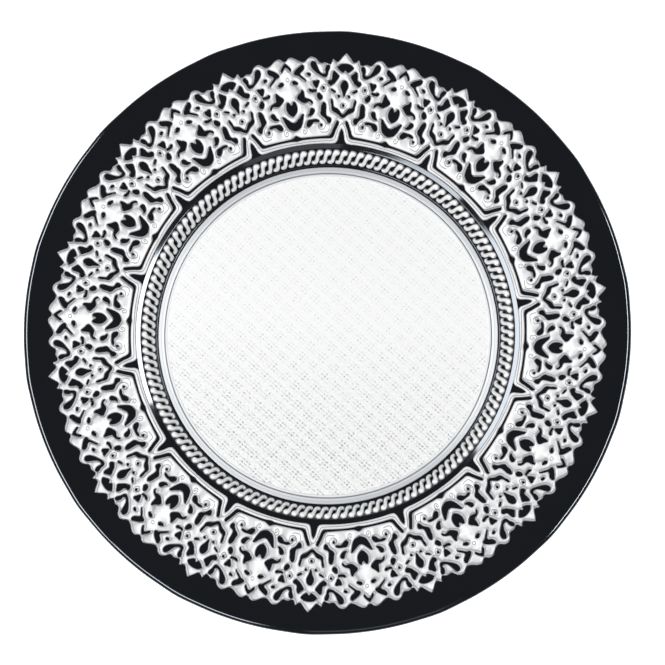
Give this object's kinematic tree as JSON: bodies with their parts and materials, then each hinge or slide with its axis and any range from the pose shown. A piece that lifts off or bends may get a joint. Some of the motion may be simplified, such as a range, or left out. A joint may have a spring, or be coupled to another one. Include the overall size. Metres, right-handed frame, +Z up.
{
  "type": "charger plate",
  "caption": "Round black glass charger plate with a raised silver arabesque border, a rope moulding down to the shallow well and a silver centre.",
  "frame": {"origin": "centre of the foot ring, on the surface that the plate stands on", "axes": "+Z up out of the well along the plate's axis, +Y through the tip of the first finial"},
  "size_m": [0.33, 0.33, 0.024],
  "materials": {
    "black_glass": "fire-polished, opaque black",
    "silver_relief": "bright silver plating on raised glass",
    "silver_band": "satin silver plating",
    "silver_field": "pale silver plating with a fine engraved diamond mesh"
  },
  "bodies": {
    "root": {"glass_plate": "black_glass", "border_panel_01": "silver_relief", "border_panel_02": "silver_relief", "border_panel_03": "silver_relief", "border_panel_04": "silver_relief", "border_panel_05": "silver_relief", "border_panel_06": "silver_relief", "border_panel_07": "silver_relief", "border_panel_08": "silver_relief", "border_panel_09": "silver_relief", "border_panel_10": "silver_relief", "border_panel_11": "silver_relief", "border_panel_12": "silver_relief", "border_panel_13": "silver_relief", "border_panel_14": "silver_relief", "rope_links": "silver_relief", "well_band": "silver_band", "centre_medallion": "silver_field"}
  },
  "joints": []
}
